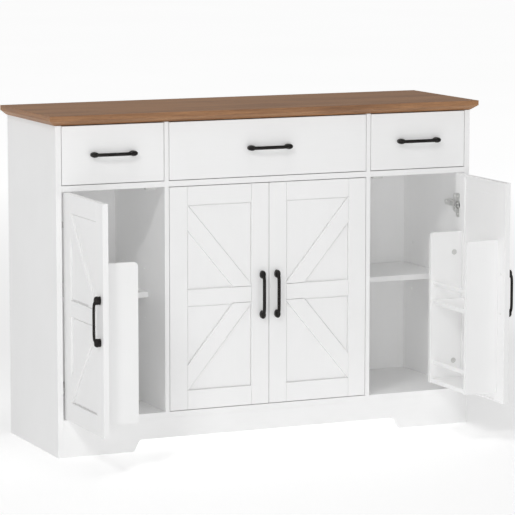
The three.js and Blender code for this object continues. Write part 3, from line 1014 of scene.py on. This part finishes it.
def make_runner(bay, side):
    """A ball-bearing runner: the cabinet's channel with its balls, and the drawer's half inside it."""
    node = f"runner_{bay}_{side}"
    low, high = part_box(node)
    way = 1 if side == "left" else -1
    wall = low.x if way > 0 else high.x
    depth = high.x - low.x
    middle = (low.z + high.z) / 2
    half = (high.z - low.z) / 2

    def place(p, z, y):
        return Vector((wall + way * p, y, middle + z))

    s, lip = RUNNER_SHEET, RUNNER_LIP
    channel = [
        (0, -half), (depth, -half), (depth, -half + lip), (depth - s, -half + lip), (depth - s, -half + s),
        (s, -half + s), (s, half - s), (depth - s, half - s), (depth - s, half - lip), (depth, half - lip),
        (depth, half), (0, half),
    ]
    parts = [soften(prism("channel", channel, low.y, high.y, place), FINE_EDGE)]
    for y in (low.y + RUNNER_SCREW_FRONT, (low.y + high.y) / 2, high.y - RUNNER_SCREW_BACK):
        parts.append(screw_head("screw", place(s, 0, y), (way, 0, 0), HINGE_SCREW))
    ball = [(BALL * math.sin(a), -BALL * math.cos(a)) for a in (math.pi * j / 6 for j in range(7))]
    balls = int((high.y - low.y) * 0.5 / BALL_PITCH)  # the cage fills the front half
    for k in range(balls):
        y = low.y + BALL_START + k * BALL_PITCH
        for z in (-half + s + BALL, half - s - BALL):
            parts.append(smooth(turned("ball", ball, place(depth / 2, z, y), (0, 1, 0), sides=10), 180))
    runner = join(f"{node}_channel", parts)
    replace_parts(finish_piece(runner, "carcass", STEEL), node)

    inner, face, h = SLIDE_INNER, SLIDE_FACE, SLIDE_HALF
    slide = [
        (inner, -h), (face, -h), (face, h), (inner, h),
        (inner, h - s), (face - s, h - s), (face - s, -h + s), (inner, -h + s),
    ]
    rail = soften(prism("rail", slide, low.y + MM, high.y, place), FINE_EDGE)
    nose_low = (inner, -h + NOSE_INSET, low.y - MM)
    nose_high = (face - 0.1 * MM, h - NOSE_INSET, low.y + NOSE_LENGTH)
    nose = soften(board("nose", nose_low, nose_high, place), FINE_EDGE)
    body = body_of(f"drawer_box_{bay}")
    finish_piece(join(f"drawer_{bay}_slide_{side}", [rail, nose]), body, STEEL)


# ---- racks, catches, back fixings
ROD_RADIUS = 6 * MM
ROD_CHAMFER = 0.4 * MM


def make_rack(side):
    """Smooth dowels, and cam covers on the two uprights' inner faces."""
    leaf = Leaf(side)
    for level in LEVELS:
        node = f"rack_{side}_rod_{level}"
        low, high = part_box(node)
        length = high.y - low.y
        profile = [
            (0, 0), (ROD_RADIUS - ROD_CHAMFER, 0), (ROD_RADIUS, ROD_CHAMFER),
            (ROD_RADIUS, length - ROD_CHAMFER), (ROD_RADIUS - ROD_CHAMFER, length), (0, length),
        ]
        middle = (low + high) / 2
        rod = smooth(turned(f"{node}_dowel", profile, (middle.x, low.y, middle.z), (0, 1, 0), sides=48))
        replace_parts(finish_piece(rod, leaf.body, DEPTH_WHITE), node)
    covers = []
    for place, way in (("hinge_side", 1), ("free_side", -1)):
        low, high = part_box(f"rack_{side}_{place}")
        u = max((corner - leaf.origin).dot(leaf.along) * way for corner in (low, high)) * way
        for z in RACK_CAM_HEIGHTS:
            centre = leaf.point(u, z, leaf.thickness + RACK_CAM_STANDOFF)
            covers.append(cam_cover("cover", centre, leaf.along * way))
    finish_piece(join(f"rack_{side}_cam_covers", covers), leaf.body, PLASTIC)


def make_catch(name, x, y):
    """A white magnetic catch under a deck: a housing with a tongue at its front."""
    low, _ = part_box("deck_left")
    length, depth, height = CATCH
    top = low.z
    bottom = top - height
    housing = board("housing", (x - length / 2, y, bottom), (x + length / 2, y + depth, top))
    tongue_low = (x - CATCH_TONGUE_HALF, y - 0.9 * MM, bottom + 1.2 * MM)
    tongue_high = (x + CATCH_TONGUE_HALF, y + 4 * MM, top - 1.4 * MM)
    tongue = board("tongue", tongue_low, tongue_high)
    parts = [soften(housing, CATCH_EDGE, 3), soften(tongue, FINE_EDGE)]
    finish_piece(join(name, parts), "carcass", PLASTIC)


def make_catches():
    """One catch by each door's free edge."""
    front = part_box("door_centre_left")[1].y + CATCH_FROM_DOOR
    for side, sign in zip(SIDES, (-1, 1)):
        low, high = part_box(f"divider_{side}")
        outer = high.x if sign > 0 else low.x
        shift = sign * (CATCH_SHIFT + CATCH[0] / 2)
        make_catch(f"catch_{side}", outer + shift, front)
        make_catch(f"catch_centre_{side}", shift, front)


def make_back_screws():
    """Screws through the back panel into both dividers."""
    low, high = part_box("back_panel")
    span = high.z - low.z - 2 * BACK_SCREW_INSET
    spots = []
    for side in SIDES:
        x = node_middle(f"divider_{side}").x
        for k in range(BACK_SCREWS):
            spots.append((x, high.y, low.z + BACK_SCREW_INSET + k * span / (BACK_SCREWS - 1)))
    add_screws("back_screws", spots, (0, 1, 0), HINGE_SCREW, "carcass")


# ---- camera, floor and light
CAMERA_PLACE = (-3.140995, -7.125468, 1.553192)
CAMERA_TURN = 24.1252  # degrees, to the right of the depth axis
CAMERA_TILT = 7.8891  # degrees, downwards
CAMERA_ROLL = 0.0199  # degrees
LENS = 200.49  # millimetres
SENSOR = 36.0  # millimetres
FAR_CLIP = 400.0

WORLD_LIGHT = 0.39
FLOOR_REACH = 80.0
FLOOR_GLOW_RANGE = (1.5, 6.0)  # metres from the floor's middle
FLOOR_GLOW = (0.29, 0.60)  # the floor's own light at those distances
LIGHTS = (
    ("front", (-2.3, -6.2, 1.0), 2.0, 50.0),
    ("key", (-3.8, -3.6, 4.4), 1.3, 76.0),
    ("overhead", (-0.3, -0.7, 4.2), 1.6, 26.0),
)  # name, place, diameter, watts
LIGHT_TARGET = (0, 0, 0.45)


def make_camera():
    camera = add_object("camera", bpy.data.cameras.new("camera"))
    camera.data.lens = LENS
    camera.data.sensor_width = SENSOR
    camera.data.clip_end = FAR_CLIP
    camera.location = CAMERA_PLACE
    turn, tilt, roll = (math.radians(angle) for angle in (CAMERA_TURN, CAMERA_TILT, CAMERA_ROLL))
    heading = Matrix.Rotation(-turn, 4, "Z") @ Matrix.Rotation(math.pi / 2 - tilt, 4, "X")
    camera.rotation_euler = (heading @ Matrix.Rotation(roll, 4, "Z")).to_euler()
    bpy.context.scene.camera = camera


def studio_floor():
    """Pale studio floor, a little brighter far from the object."""
    look = Look("studio_floor", 0.9)
    distance = look.nodes.new("ShaderNodeVectorMath")
    distance.operation = "LENGTH"
    look.link(look.place, distance.inputs[0])
    glow = look.remap(distance.outputs["Value"], *FLOOR_GLOW_RANGE, *FLOOR_GLOW)
    drift = look.noise(look.place, 0.6, detail=2.0)
    look.color(look.ramp(drift, [(0.3, (0.93, 0.93, 0.93)), (0.7, (0.95, 0.95, 0.95))]))
    look.shader.inputs["Specular IOR Level"].default_value = 0.0
    look.shader.inputs["Emission Color"].default_value = (1.0, 1.0, 1.0, 1.0)
    look.link(glow, look.shader.inputs["Emission Strength"])
    return look.material


def add_area_light(name, place, target, size, power):
    """A round light at place, facing target."""
    light = bpy.data.lights.new(name, "AREA")
    light.shape = "DISK"
    light.size = size
    light.energy = power
    obj = add_object(name, light)
    obj.location = place
    obj.rotation_euler = (Vector(target) - Vector(place)).to_track_quat("-Z", "Y").to_euler()


def make_studio():
    """White surroundings, a wide pale floor and three soft lights."""
    scene = bpy.context.scene
    world = bpy.data.worlds.new("studio")
    world.use_nodes = True
    background = world.node_tree.nodes["Background"]
    background.inputs["Color"].default_value = (1.0, 1.0, 1.0, 1.0)
    background.inputs["Strength"].default_value = WORLD_LIGHT
    scene.world = world
    scene.view_settings.view_transform = "Standard"
    scene.cycles.diffuse_bounces = 16
    scene.cycles.max_bounces = 20
    r = FLOOR_REACH
    floor = mesh_object("floor", [(-r, -r, 0), (r, -r, 0), (r, r, 0), (-r, r, 0)], [(0, 1, 2, 3)])
    floor.data.materials.append(studio_floor())
    for name, place, size, power in LIGHTS:
        add_area_light(name, place, LIGHT_TARGET, size, power)


# ---- assembly
make_camera()
make_studio()
carry_boards()
make_uprights()
make_shelf_pins()
for door_name in DOORS:
    door_leaf = Leaf(door_name)
    make_leaf(door_leaf)
    for level_name, hinge_height in zip(LEVELS, door_leaf.hinge_heights):
        make_hinge_arm(door_name, level_name)
        make_hinge_cup(door_leaf, level_name, hinge_height)
make_handles()
make_handle_screws()
for bay_name in BAYS:
    make_drawer_box(bay_name)
    for side_name in SIDES:
        make_runner(bay_name, side_name)
for side_name in SIDES:
    make_rack(side_name)
make_catches()
make_back_screws()
